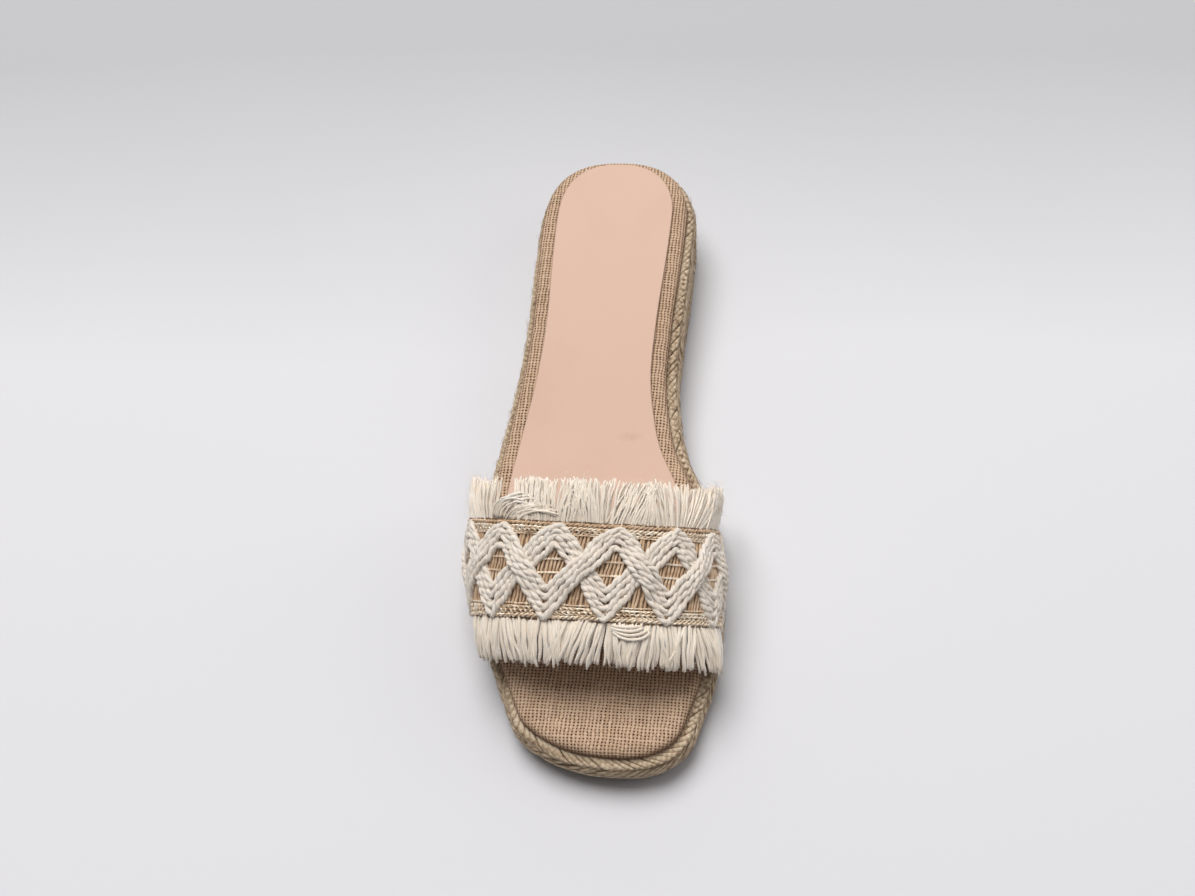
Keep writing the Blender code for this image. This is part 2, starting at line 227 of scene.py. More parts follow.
def rubber_finish():
    made, tree = new_material("tread_rubber")
    place = place_in(tree)
    dust = noise(tree, place, 260.0, 5.0)
    colour = ramp(tree, dust, (0.35, RUBBER_DARK), (0.75, RUBBER_LIGHT))
    axes = split(tree, place)
    slant = maths(tree, "MULTIPLY_ADD", axes["X"], TREAD_SLANT, axes["Y"])
    wave = maths(tree, "SINE", maths(tree, "MULTIPLY", slant, 2 * math.pi / TREAD_PITCH))
    relief = maths(tree, "MULTIPLY_ADD", dust, 0.1, maths(tree, "SMOOTH_MIN", wave, 0.2, 0.3))
    normal = bumped(tree, relief, 0.8, TREAD_DEPTH)
    return finished(made, {"Base Color": colour, "Normal": normal, "Roughness": 0.78})


def refinish(node, finish):
    """Gives a CAD node another material."""
    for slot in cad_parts[node].material_slots:
        slot.material = finish


refinish("outsole", rubber_finish())


# ---- Jute wedge ----
# A light core wound with three rows of flat plait, sewn edge to edge. Each row is a herringbone of
# thin jute strands that meet on its middle line; loose fibres stand out all over it.
Section = namedtuple("Section", "along lateral medial top under neck")
LAST = [Section(*row) for row in (
    # The same last that the solids are made on, in millimetres from the back of the footbed's rim.
    (-4, 25.2, 32.4, 36.1, 0.0, 0.8),
    (20, 26.2, 32.3, 35.5, 0.0, 0.8),
    (35, 27.3, 31.2, 34.8, 0.0, 0.9),
    (50, 27.9, 29.6, 33.8, 0.0, 1.2),
    (75, 28.8, 26.5, 31.2, 0.0, 1.8),
    (100, 31.6, 24.6, 28.0, 1.3, 2.1),
    (125, 36.4, 27.5, 24.2, 0.8, 2.2),
    (145, 40.3, 35.3, 21.4, 0.0, 2.2),
    (162, 42.0, 41.0, 19.5, 0.0, 2.2),
    (180, 41.3, 42.6, 18.2, 0.0, 2.2),
    (200, 37.6, 41.8, 17.8, 0.0, 2.2),
    (218, 31.2, 38.8, 18.2, 0.7, 2.2),
    (234, 24.9, 33.6, 19.1, 1.8, 2.2),
    (252, 18.0, 27.5, 20.4, 3.4, 2.2),
)]
RIM_LENGTH = 248.3 * MM
RIM_HEEL_TIP, RIM_HEEL_ROUND, RIM_HEEL_POWER = -1.3 * MM, 31 * MM, 2.5
TOE_ROUND, TOE_POWER, TOE_TIP_ACROSS, TOE_SLANT = 15 * MM, 3.2, 17 * MM, 4.6
SHOE_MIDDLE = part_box("footbed")[1].y + RIM_HEEL_TIP  # what lies at y = 0, half-way along the shoe
OUTSOLE_THICK, FOOTBED_THICK, GAP = 2.5 * MM, 5.0 * MM, 0.3 * MM
PLAIT_ROWS, PLAIT_ROW, PLAIT_BULGE = 3, 9.6 * MM, 1.2 * MM
ROW_SHARE = 0.92  # the most of the wall's height that the top row takes
ROW_TILT, LEDGE_TILT, LEDGE_ROUND = math.radians(50), math.radians(40), 1.2 * MM
SOLE_SHIFT = np.array((0.7 * MM, 0.6 * MM))
RIM_STEPS = 1200
STRAND_PITCH = 2.65 * MM  # along the row, from one strand to the next
STRAND_WIDE, STRAND_FLAT = 1.7 * MM, 1.6  # its width, and how many times wider it is than thick
STRAND_LIFT, STRAND_BEND = 0.45 * MM, 0.6 * MM
STRAND_SLANT = 1.65  # how far a strand runs along the row for each unit across it
STRAND_PAST, STRAND_SHY = 0.9 * MM, 0.2 * MM  # how far it goes past the middle, and stops short below
LEDGE_OVER, LEDGE_CLEAR = 1.6 * MM, 1.4 * MM  # the top row lies this far in over the ledge
PLAIT_MOST_SQUASHED = 2.2 * MM  # rows lower than this have no room for strands
JUTE_DARK, JUTE_MID, JUTE_LIGHT = (0.20, 0.13, 0.08), (0.46, 0.345, 0.23), (0.69, 0.565, 0.415)
chance = np.random.default_rng(11)


def stray(most):
    """A chance amount, at most this much either way."""
    return most * chance.uniform(-1, 1)


def last(column, along):
    """A column of the last, in metres: a monotone cubic, so flat stretches stay flat."""
    places = np.array([row.along for row in LAST]) * MM
    values = np.array([getattr(row, column) for row in LAST]) * MM
    slopes = np.diff(values) / np.diff(places)
    before, after = slopes[:-1], slopes[1:]
    both = np.where(before * after > 0, before + after, 1.0)
    inner = np.where(before * after > 0, 2 * before * after / both, 0.0)
    tangents = np.concatenate([slopes[:1], inner, slopes[-1:]])
    along = np.asarray(along, float)
    at = np.clip(np.searchsorted(places, along, side="right") - 1, 0, len(LAST) - 2)
    span = places[at + 1] - places[at]
    t = np.clip((along - places[at]) / span, 0.0, 1.0)
    return (
        values[at] * (1 + 2 * t) * (1 - t) ** 2
        + tangents[at] * span * t * (1 - t) ** 2
        + values[at + 1] * t * t * (3 - 2 * t)
        + tangents[at + 1] * span * t * t * (t - 1)
    )


def across(side, along, share):
    lateral, medial = last("lateral", along), last("medial", along)
    return (medial - lateral) / 2 + side * share * (medial + lateral) / 2


def unit(arrows):
    return arrows / np.maximum(np.linalg.norm(arrows, axis=-1, keepdims=True), 1e-12)


def reach_of(line):
    """How far along a line each of its points is."""
    return np.r_[0, np.cumsum(np.linalg.norm(np.diff(line, axis=0), axis=1))]


def points_at(line, reach, at):
    """Points of a line at distances along it."""
    return np.stack([np.interp(at, reach, column) for column in line.T], axis=-1)


def evenly(line, count):
    """A line of points again, at equal distances."""
    reach = reach_of(line)
    return points_at(line, reach, np.linspace(0, reach[-1], count))


def rim_side(side):
    """One side of the rim in plan, (x, along), from the heel's tip to the toe's."""
    angle = np.linspace(0, math.pi / 2, 80)
    inward = 1 - np.cos(angle) ** (2 / RIM_HEEL_POWER)
    along = RIM_HEEL_TIP + RIM_HEEL_ROUND * inward
    share = np.sin(angle) ** (2 / RIM_HEEL_POWER)
    heel = np.c_[across(side, along, share), along]
    toe_start = RIM_LENGTH - TOE_ROUND
    along = np.linspace(RIM_HEEL_TIP + RIM_HEEL_ROUND, toe_start, 120)[1:-1]
    waist = np.c_[across(side, along, 1.0), along]
    angle = angle[::-1]
    inward = 1 - np.abs(np.cos(angle)) ** (2 / TOE_POWER)
    x = across(side, RIM_LENGTH - TOE_ROUND * inward, np.sin(angle) ** (2 / TOE_POWER))
    front = RIM_LENGTH - TOE_SLANT * np.maximum(TOE_TIP_ACROSS - x, 0) ** 2
    toe = np.c_[x, toe_start + (front - toe_start) * (1 - inward)]
    return evenly(np.concatenate([heel, waist, toe]), RIM_STEPS // 2 + 1)


rim = np.concatenate([rim_side(1), rim_side(-1)[-2:0:-1]])  # heel tip, medial, toe, lateral
rim_ahead = np.roll(rim, -4, axis=0) - np.roll(rim, 4, axis=0)
rim_out = unit(np.c_[rim_ahead[:, 1], -rim_ahead[:, 0]])
rim_reach = reach_of(np.r_[rim, rim[:1]])
RIM_ROUND = rim_reach[-1]


def on_rim(reach):
    """(plan points, outward directions) at distances round the rim from the heel's tip."""
    at = np.mod(reach, RIM_ROUND)
    point, out = (points_at(np.r_[line, line[:1]], rim_reach, at) for line in (rim, rim_out))
    return point, unit(out)


def row_edges(along):
    """Heights of the plait's grooves, top to bottom."""
    top = last("top", along) - FOOTBED_THICK - GAP
    bottom = last("under", along) + OUTSOLE_THICK + GAP
    full = np.minimum(PLAIT_ROW, ROW_SHARE * (top - bottom))
    rest = (top - bottom - full) / (PLAIT_ROWS - 1)
    return np.stack([top] + [top - full - rest * k for k in range(PLAIT_ROWS)])


def on_wall(reach, down, lift):
    """Points on the jute wall: round the rim, down its ribbed face in rows, and out from it. Less than
    nothing down is in over the ledge at its top, towards the footbed."""
    point, out = on_rim(reach)
    spot = point + SOLE_SHIFT
    along = spot[:, 1]
    edges = row_edges(along)
    row = np.clip(np.floor(down), 0, PLAIT_ROWS - 1).astype(int)
    each = np.arange(len(along))
    high, low = edges[row, each], edges[row + 1, each]
    share = np.clip(down - row, 0, 1)
    squash = np.minimum((high - low) / PLAIT_ROW, 1)
    ledge = np.minimum(down, 0) * PLAIT_ROW
    face = last("neck", along) + PLAIT_BULGE * squash * np.sin(math.pi * share) ** 0.8 + ledge
    tilt = ROW_TILT * np.cos(math.pi * share) * squash
    tilt = tilt + LEDGE_TILT * np.minimum(-ledge / LEDGE_ROUND, 1)
    spot = spot + out * (face + lift * np.cos(tilt))[:, None]
    height = high - (high - low) * share + lift * np.sin(tilt)
    return np.c_[spot[:, 0], SHOE_MIDDLE - spot[:, 1], height]


def lay_out(maker, place):
    """Takes a flat drawing's points to where they lie on the shoe."""
    drawn = np.array([vert.co for vert in maker.verts])
    for vert, point in zip(maker.verts, place(*drawn.T)):
        vert.co = point


def dress(name, mesh, finish):
    """A finished mesh becomes a piece of the shoe."""
    mesh.materials.clear()
    mesh.materials.append(finish)
    mesh.shade_smooth()
    piece = put(name, mesh)
    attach(piece, "root")
    return piece


def spun(name, strands, thickness, sides=1, closed=False, place=None):
    """Strands of yarn as one mesh, each a line of points with a round section and filled ends, and a
    share of the thickness at each point. A drawing made flat is placed on the shoe afterwards."""
    curve = bpy.data.curves.new(name, "CURVE")
    curve.dimensions = "3D"
    curve.bevel_depth = thickness / 2
    curve.bevel_resolution = sides
    curve.use_fill_caps = not closed
    for points, share in strands:
        spline = curve.splines.new("POLY")
        spline.points.add(len(points) - 1)
        spline.points.foreach_set("co", np.c_[points, np.ones(len(points))].ravel())
        spline.points.foreach_set("radius", np.broadcast_to(share, len(points)).astype(float))
        spline.use_cyclic_u = closed
    holder = bpy.data.objects.new(name, curve)
    tubes = bpy.data.meshes.new_from_object(holder)
    maker = bmesh.new()
    maker.from_mesh(tubes)
    bpy.data.objects.remove(holder)
    bpy.data.curves.remove(curve)
    bpy.data.meshes.remove(tubes)
    bmesh.ops.remove_doubles(maker, verts=maker.verts, dist=1e-7)
    if place:
        lay_out(maker, place)
    return mesh_of(name, maker)


def new_group(name, inputs, outputs):
    """An empty node group with its sockets, each a name and a kind, and what it is given."""
    tree = bpy.data.node_groups.new(name, "ShaderNodeTree")
    for way, sockets in (("INPUT", inputs), ("OUTPUT", outputs)):
        for key, kind in sockets.items():
            tree.interface.new_socket(key, in_out=way, socket_type="NodeSocket" + kind)
    return tree, tree.nodes.new("NodeGroupInput").outputs


WHITE = (1.0, 1.0, 1.0)


def own_uv(tree):
    return add(tree, "ShaderNodeUVMap").outputs[0]


def streaks_group():
    """Fine fibres along a yarn or strand, from its own UV, with slower mottling over the shoe."""
    scales, masks = {"Along": "Float", "Around": "Float"}, {"Fibre": "Float", "Mottle": "Float"}
    tree, given = new_group("fibre_streaks", scales, masks)
    place = place_in(tree)
    scale = add(tree, "ShaderNodeCombineXYZ", {0: given["Around"], 1: given["Along"]}).outputs[0]
    drawn = vectors(tree, "MULTIPLY", own_uv(tree), scale)
    apart = vectors(tree, "MULTIPLY", place, (50.0, 50.0, 50.0))
    fibre = noise(tree, vectors(tree, "ADD", drawn, apart), 1.0, 1.5)
    add(tree, "NodeGroupOutput", {"Fibre": fibre, "Mottle": noise(tree, place, 330.0, 2.0)})
    return tree


fibre_streaks = streaks_group()


def fibre_finish(
    name, along, around, colours, bump=0.0002, roughness=0.85, sheen=0.1, contrast=0.5, spread=0.18,
    root=None,
):
    """Yarn or raw fibre: three colours from its hollows to its lit fibres, and painted shade where it
    comes out of the cloth."""
    made, tree = new_material(name)
    given = {"Along": along, "Around": around}
    streaks = add(tree, "ShaderNodeGroup", given, node_tree=fibre_streaks).outputs
    mottled = maths(tree, "MULTIPLY", streaks["Mottle"], contrast)
    tone = maths(tree, "MULTIPLY_ADD", streaks["Fibre"], 1 - contrast, mottled)
    colour = ramp(tree, tone, *zip((0.48 - spread, 0.48, 0.48 + spread), colours))
    if root:
        # Painted shade along the first part of a yarn, where it comes out from under the band.
        near = ramp(tree, split(tree, own_uv(tree))["Y"], (0.02, root), (0.35, WHITE))
        colour = mixed(tree, 1.0, colour, near, "MULTIPLY")
    finished(made, {"Base Color": colour, "Normal": bumped(tree, streaks["Fibre"], 0.6, bump)})
    return finished(made, {"Roughness": roughness, "Specular IOR Level": 0.25, "Sheen Weight": sheen})


def plait_strands(row):
    """One row of flat plait, drawn in metres round the rim and across the rows: strands from its two
    edges that lean the same way and tuck under each other along the middle, or higher in the top row."""
    reaches = np.arange(0, RIM_ROUND - STRAND_PITCH / 2, STRAND_PITCH)
    point, out = on_rim(reaches)
    edges = row_edges(point[:, 1])
    over = (last("neck", point[:, 1]) + out @ SOLE_SHIFT + LEDGE_OVER) * (row == 0)
    middle_share = 0.5 if row else 0.33
    t = np.linspace(0, 1, 7)
    strands = []
    for reach, high, ledge in zip(reaches, edges[row] - edges[row + 1], over):
        if high < PLAIT_MOST_SQUASHED:
            continue
        top, bottom = row * PLAIT_ROW - ledge, (row + 1) * PLAIT_ROW - STRAND_SHY
        upper = row * PLAIT_ROW - max(ledge - LEDGE_CLEAR, 0)
        middle = upper * (1 - middle_share) + bottom * middle_share + stray(0.25 * MM)
        for start, shift in ((top, 0.0), (bottom, 0.5)):
            run = middle + STRAND_PAST * np.sign(middle - start) - start
            down = start + run * t
            slant = STRAND_SLANT * (1 + stray(0.16)) * np.abs(run)
            bend = STRAND_BEND * t * (1 - t) * chance.uniform(0.6, 1.6)
            place = reach + STRAND_PITCH * (shift + stray(0.14)) - slant * t + bend * 2
            lift = STRAND_LIFT * (1 - 2.2 * t**3) + stray(0.15 * MM)
            wide = (0.5 + 0.6 * np.sin(math.pi * (0.3 + 0.62 * t)) ** 0.7) * (1 + stray(0.2))
            strands.append((np.c_[place, down, lift * STRAND_FLAT], wide))
    return strands


def on_plait(reach, down, lift):
    return on_wall(reach, down / PLAIT_ROW, lift / STRAND_FLAT)


jute_finish = fibre_finish(
    "jute_strands", 0.7, 9.0, (JUTE_DARK, JUTE_MID, JUTE_LIGHT), bump=0.0007, contrast=0.2, spread=0.15
)
for row in range(PLAIT_ROWS):
    name = "jute_plait_%d" % (row + 1)
    dress(name, spun(name, plait_strands(row), STRAND_WIDE, place=on_plait), jute_finish)


# The core is painted darker than the strands, as the shade in the hollows between them.
CORE_DARK, CORE_LIGHT = (0.12, 0.08, 0.05), (0.40, 0.29, 0.18)


def core_finish():
    """The hollows between the strands: the same jute, painted darker as the shade of their depth."""
    made, tree = new_material("jute_core")
    knots = noise(tree, place_in(tree), 900.0, 4.0)
    colour = ramp(tree, knots, (0.35, CORE_DARK), (0.8, CORE_LIGHT))
    normal = bumped(tree, knots, 0.7, 0.0006)
    return finished(made, {"Base Color": colour, "Normal": normal, "Roughness": 0.95})


refinish("jute_midsole", core_finish())


JUTE_HAIRS = 1100
HAIR_THICK, HAIR_LONG, HAIR_STEPS = 0.11 * MM, (2.0, 6.5), 5


def wall_hairs():
    """Short loose fibres that stand out of the plait, and curl."""
    strands = []
    t = np.linspace(0, 1, HAIR_STEPS)
    for _ in range(JUTE_HAIRS):
        reach, down = chance.uniform(0, RIM_ROUND), chance.uniform(0, 1) ** 1.6 * PLAIT_ROWS
        step = chance.uniform(*HAIR_LONG) * MM / HAIR_STEPS
        turn = chance.uniform(0, 2 * math.pi) + stray(1.5) * t
        reach_line = reach + np.cumsum(np.cos(turn)) * step
        down_line = down + np.cumsum(np.sin(turn)) * step / PLAIT_ROW
        lift = 0.8 * MM + t * chance.uniform(0.1, 1.3) * MM
        points = on_wall(reach_line, np.clip(down_line, 0.02, PLAIT_ROWS - 0.05), lift)
        strands.append((points, 1.0 - 0.6 * t))
    return spun("jute_hairs", strands, HAIR_THICK, sides=0)


dress("jute_hairs", wall_hairs(), jute_finish)


# ---- Footbed ----
# A firm board wrapped in plain-woven burlap, turned over a soft edge and drawn down into the groove
# above the plait. The cloth is open enough for its holes to show; their dark is painted shade.
ROLL = (
    # how far in from the rim, and how far below the top: in mm
    (3.2, 5.0), (2.0, 5.0), (0.9, 4.75), (0.25, 4.1), (0.0, 3.2), (0.1, 2.3), (0.45, 1.45),
    (1.1, 0.75), (2.1, 0.25), (3.4, 0.0), (8.0, 0.0),
)
BURLAP_PITCH = (1.335 * MM, 1.16 * MM)  # across the shoe and along it
BURLAP_TURN = math.radians(4.0)
BURLAP = (
    # from painted shade in the holes, through the threads' tan, to a painted highlight on their tops
    (0.02, 0.008, 0.004), (0.23, 0.125, 0.07), (0.43, 0.28, 0.18), (0.66, 0.475, 0.335),
)
EDGE_SHADE = (0.50, 0.42, 0.37)  # painted shade on the cloth where it turns down and in


def weave_group():
    """Plain weave over a cloth's own UV, where one unit is one thread. The warp runs along the cloth's
    second axis and stands higher than the weft, which shows in the gaps between its threads."""
    sizes = dict.fromkeys(("Wander", "Warp Cover", "Weft Cover", "Weft Depth"), "Float")
    masks = {"Height": "Float", "Thread": "Float"}
    tree, given = new_group("plain_weave", {**sizes, "Vector": "Vector"}, masks)
    spread = noise(tree, given["Vector"], 0.22, 2.0, "Color")
    centred = vectors(tree, "SUBTRACT", spread, (0.5, 0.5, 0.5))
    wander = vectors(tree, "MULTIPLY", centred, given["Wander"])
    axes = split(tree, vectors(tree, "ADD", given["Vector"], wander))

    def thread(over, beside, cover, depth, sign):
        """Height of the threads that are counted by one axis and run along the other."""
        count = maths(tree, "FLOOR", over)
        tint = add(tree, "ShaderNodeTexWhiteNoise", {"W": count}, noise_dimensions="1D").outputs[0]
        run = {0: maths(tree, "MULTIPLY", count, 7.3), 1: maths(tree, "MULTIPLY", beside, 0.35)}
        slub = noise(tree, add(tree, "ShaderNodeCombineXYZ", run).outputs[0], 1.0, 2.0)
        wide = maths(tree, "MULTIPLY_ADD", cover, 0.5, maths(tree, "MULTIPLY_ADD", slub, 0.42, -0.21))
        off = maths(tree, "ABSOLUTE", maths(tree, "SUBTRACT", maths(tree, "FRACT", over), 0.5))
        fall = maths(tree, "POWER", maths(tree, "DIVIDE", off, wide), 2.0)
        round_top = maths(tree, "SUBTRACT", 1.0, fall)
        inside = maths(tree, "GREATER_THAN", round_top, 0.0)
        bow = maths(tree, "SQRT", maths(tree, "MAXIMUM", round_top, 0.0))
        turn = maths(tree, "MULTIPLY", maths(tree, "ADD", beside, count), math.pi)
        wave = maths(tree, "MULTIPLY_ADD", maths(tree, "SINE", turn), 0.16 * sign, 0.42)
        high = maths(tree, "SUBTRACT", maths(tree, "MULTIPLY_ADD", bow, 0.42, wave), depth)
        return maths(tree, "MULTIPLY", high, inside), tint

    warp, warp_tint = thread(axes["X"], axes["Y"], given["Warp Cover"], 0.0, 1.0)
    weft, weft_tint = thread(axes["Y"], axes["X"], given["Weft Cover"], given["Weft Depth"], -1.0)
    on_top = maths(tree, "GREATER_THAN", warp, weft)
    tint = add(tree, "ShaderNodeMix", {0: on_top, 2: weft_tint, 3: warp_tint}).outputs[0]
    add(tree, "NodeGroupOutput", {"Height": maths(tree, "MAXIMUM", warp, weft), "Thread": tint})
    return tree


plain_weave = weave_group()


def edge_group():
    """Darkens a colour where a surface turns down, by the height of its normal."""
    inputs = {"Colour": "Color", "Shade": "Color", "Turned": "Float", "Level": "Float"}
    tree, given = new_group("edge_shade", inputs, {"Colour": "Color"})
    facing = split(tree, add(tree, "ShaderNodeNewGeometry").outputs["Normal"])["Z"]
    flat = add(tree, "ShaderNodeMapRange", {0: facing, 1: given["Turned"], 2: given["Level"]}).outputs[0]
    shade = mixed(tree, flat, given["Shade"], WHITE)
    add(tree, "NodeGroupOutput", {"Colour": mixed(tree, 1.0, given["Colour"], shade, "MULTIPLY")})
    return tree


edge_shade = edge_group()


def shaded(tree, colour, shade, turned, level):
    given = {"Colour": colour, "Shade": shade, "Turned": turned, "Level": level}
    return add(tree, "ShaderNodeGroup", given, node_tree=edge_shade).outputs["Colour"]


def cloth_finish(name, pitches, turn, colours, covers=(0.66, 0.66), depth=0.1, wander=0.9, tint=0.22):
    """Plain-woven cloth: four colours from painted shade in its holes to painted highlight on its
    threads' tops.
    """
    made, tree = new_material(name)
    scale = (1 / pitches[0], 1 / pitches[1], 1.0)
    turned = {"Vector": own_uv(tree), "Rotation": (0, 0, turn), "Scale": scale}
    counted = add(tree, "ShaderNodeMapping", turned).outputs[0]
    given = {"Vector": counted, "Wander": wander, "Weft Depth": depth}
    given.update(zip(("Warp Cover", "Weft Cover"), covers))
    weave = add(tree, "ShaderNodeGroup", given, node_tree=plain_weave).outputs
    fuzz, patch = noise(tree, counted, 5.0, 3.0), noise(tree, counted, 0.13, 2.0)
    tone = weave["Height"]
    for uneven, share in ((fuzz, 0.26), (weave["Thread"], tint), (patch, 0.2)):
        tone = maths(tree, "MULTIPLY_ADD", uneven, share, maths(tree, "SUBTRACT", tone, share / 2))
    # The weave's height picks painted shade for the holes and a painted highlight for the thread tops.
    stops = zip((0.10, 0.28, 0.58, 0.95), colours)
    # Painted shade where the cloth's surface turns down: over the footbed's edge, and down the strap's
    # sides.
    colour = shaded(tree, ramp(tree, tone, *stops), EDGE_SHADE, 0.1, 0.82)
    relief = maths(tree, "MULTIPLY_ADD", fuzz, 0.22, weave["Height"])
    finished(made, {"Base Color": colour, "Normal": bumped(tree, relief, 0.9, 0.0005)})
    return finished(made, {"Roughness": 0.88, "Specular IOR Level": 0.2})


def wrapped_board():
    """The footbed's skin, with a UV map that lies flat on top and turns down over the edge with it."""
    maker = bmesh.new()
    cloth = maker.loops.layers.uv.new("cloth")
    count = RIM_STEPS // 3
    point, out = on_rim(np.arange(count) * RIM_ROUND / count)
    runs = reach_of(np.array(ROLL) * MM)
    flat, rings = {}, []
    for (inset, drop), run in zip(ROLL, runs):
        ring = bmesh.ops.create_circle(maker, segments=count, radius=1.0)["verts"]
        spot = point - out * inset * MM
        height = last("top", point[:, 1]) - drop * MM
        drawn = point + out * (runs[-2] - run - ROLL[-2][0] * MM)
        for k, vert in enumerate(ring):
            vert.co = (spot[k, 0], SHOE_MIDDLE - spot[k, 1], height[k])
            flat[vert] = (drawn[k, 0], -drawn[k, 1])
        rings.append(ring)

    def edges_of(verts):
        inside = set(verts)
        edges = {edge for vert in verts for edge in vert.link_edges}
        return [edge for edge in edges if inside.issuperset(edge.verts)]

    for lower, upper in zip(rings, rings[1:]):
        bmesh.ops.bridge_loops(maker, edges=edges_of(lower) + edges_of(upper))
    half = count // 2
    for ring in (rings[0], rings[-1]):
        sides = edges_of(ring[1:half]) + edges_of(ring[half + 1 :])
        bmesh.ops.bridge_loops(maker, edges=sides)
    bmesh.ops.holes_fill(maker, edges=maker.edges, sides=4)
    bmesh.ops.recalc_face_normals(maker, faces=maker.faces)
    for face in maker.faces:
        for loop in face.loops:
            loop[cloth].uv = flat[loop.vert]
    return mesh_of("burlap_footbed", maker)


burlap_finish = cloth_finish("burlap", BURLAP_PITCH, BURLAP_TURN, BURLAP)
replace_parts(dress("burlap_footbed", wrapped_board(), burlap_finish), "footbed")


# ---- Sock ----
# A thin smooth sock of pale pink leather-look stuff, glued flat on the burlap from the heel to
# under the strap, with a fine grain and faint marks of handling.
# SOCK_SIDE is the tone the sock takes on its steep sides, by the height of their normal.
SOCK_LIGHT, SOCK_DARK, SOCK_SIDE = (0.665, 0.455, 0.352), (0.635, 0.43, 0.33), (0.45, 0.38, 0.34)
RUB_AT, RUB_LONG = (11.0 * MM, 0.0, 0.0), 7.0 * MM  # a faint scuff, wider than it is long
RUB_SHAPE, RUB_TINT = (1.0, 2.4, 0.0), (0.89, 0.86, 0.86)


def sock_finish():
    made, tree = new_material("pink_sock")
    place = place_in(tree)
    colour = ramp(tree, noise(tree, place, 28.0, 3.0), (0.25, SOCK_DARK), (0.5, SOCK_LIGHT))
    aside = vectors(tree, "MULTIPLY", vectors(tree, "SUBTRACT", place, RUB_AT), RUB_SHAPE)
    away = maths(tree, "DIVIDE", vectors(tree, "LENGTH", aside), RUB_LONG)
    near = maths(tree, "MAXIMUM", maths(tree, "SUBTRACT", 1.0, away), 0.0)
    rubbed = maths(tree, "MULTIPLY", near, noise(tree, place, 700.0, 3.0))
    colour = mixed(tree, 1.0, colour, ramp(tree, rubbed, (0.08, WHITE), (0.5, RUB_TINT)), "MULTIPLY")
    grain = add(tree, "ShaderNodeTexVoronoi", {"Vector": place, "Scale": 1500.0}).outputs[0]
    normal = bumped(tree, grain, 0.15, 0.00008)
    # The sock is darker on its steep sides.
    finished(made, {"Base Color": shaded(tree, colour, SOCK_SIDE, 0.5, 0.9), "Normal": normal})
    return finished(made, {"Roughness": 0.6, "Specular IOR Level": 0.3})


refinish("insole_sock", sock_finish())


# ---- Strap band ----
# The upper's ground: a stiff woven trim, lined inside, that arches over the foot and is glued into
# the seam between footbed and jute on each side. Everything else on the strap is laid over it.
STRAP_WALL = 2.2 * MM
REAR_FOOT, FRONT_FOOT = 159.5 * MM, 198.5 * MM
REAR_TOP, FRONT_TOP = 62.5 * MM, 48.5 * MM
STRAP_SKEW = 2.4 * MM
LEAN_REAR, LEAN_FRONT, LEAN_LEVEL = 0.47, 0.41, 20 * MM
ARCH_POWER = 2.7
BULGE_LATERAL, BULGE_MEDIAL = 2.4 * MM, 1.4 * MM
BAND_WIDTH = 35.5 * MM
BAND_UNDER = 0.35 * MM  # the ground lies this far below the solid's face
BAND_PITCH = 0.9 * MM
# The ground's cloth is painted dark brown, as the shade that shows between the ribs laid over it.
BAND_SHADE_CLOTH = ((0.03, 0.018, 0.01), (0.09, 0.05, 0.028), (0.20, 0.125, 0.07), (0.40, 0.28, 0.18))
ARCH_ROWS, ARCH_STEP = 17, 0.5 * MM
ARCH_GRID = np.arange(-192, 193) * ARCH_STEP  # arcs either way from the band's top


def arch_line(v):
    """The band's outer face at v, 0 at its rear edge and 1 at its front: its points and their arcs."""
    foot = REAR_FOOT + (FRONT_FOOT - REAR_FOOT) * v
    top = REAR_TOP + (FRONT_TOP - REAR_TOP) * v
    lean = LEAN_REAR + (LEAN_FRONT - LEAN_REAR) * v
    beside = GAP + STRAP_WALL
    lateral = last("lateral", foot - STRAP_SKEW) + beside
    medial = last("medial", foot + STRAP_SKEW) + beside
    middle, half = (medial - lateral) / 2, (medial + lateral) / 2
    angle = np.linspace(-math.pi / 2, math.pi / 2, 241)
    sideways = np.sign(angle) * np.abs(np.sin(angle)) ** (2 / ARCH_POWER)
    rise = np.maximum(np.cos(angle), 0) ** (2 / ARCH_POWER)
    base = last("top", foot + STRAP_SKEW * sideways) - FOOTBED_THICK
    z = base + (top - base) * rise
    along = foot + STRAP_SKEW * sideways + lean * np.maximum(z - LEAN_LEVEL, 0)
    bulge = np.where(angle > 0, BULGE_MEDIAL, BULGE_LATERAL)
    out = half + bulge * np.sin(math.pi * np.minimum(rise, 1))
    points = np.c_[middle + out * sideways, SHOE_MIDDLE - along, z]
    arcs = reach_of(points)
    return points, arcs - arcs[len(arcs) // 2]


arch_lines = [arch_line(v) for v in np.linspace(0, 1, ARCH_ROWS)]
arch_edges = np.array([(arcs[0], arcs[-1]) for _, arcs in arch_lines])
arch_grid = np.array([points_at(line, arcs, ARCH_GRID) for line, arcs in arch_lines])


def arc_range(v, shy=0.0):
    """The arcs from one seam to the other, stopping this much short of each."""
    low, high = (np.interp(v, np.linspace(0, 1, ARCH_ROWS), edge) for edge in arch_edges.T)
    return low + shy, high - shy


def on_arch(arc, v):
    """Points of the band's outer face, at arcs from its top and places across it."""
    row = np.clip(v * (ARCH_ROWS - 1), 0, ARCH_ROWS - 1.0001)
    column = np.clip((arc - ARCH_GRID[0]) / ARCH_STEP, 0, len(ARCH_GRID) - 1.001)
    r, c = row.astype(int), column.astype(int)
    s, t = (row - r)[:, None], (column - c)[:, None]
    near = arch_grid[r, c] * (1 - t) + arch_grid[r, c + 1] * t
    far = arch_grid[r + 1, c] * (1 - t) + arch_grid[r + 1, c + 1] * t
    return near * (1 - s) + far * s


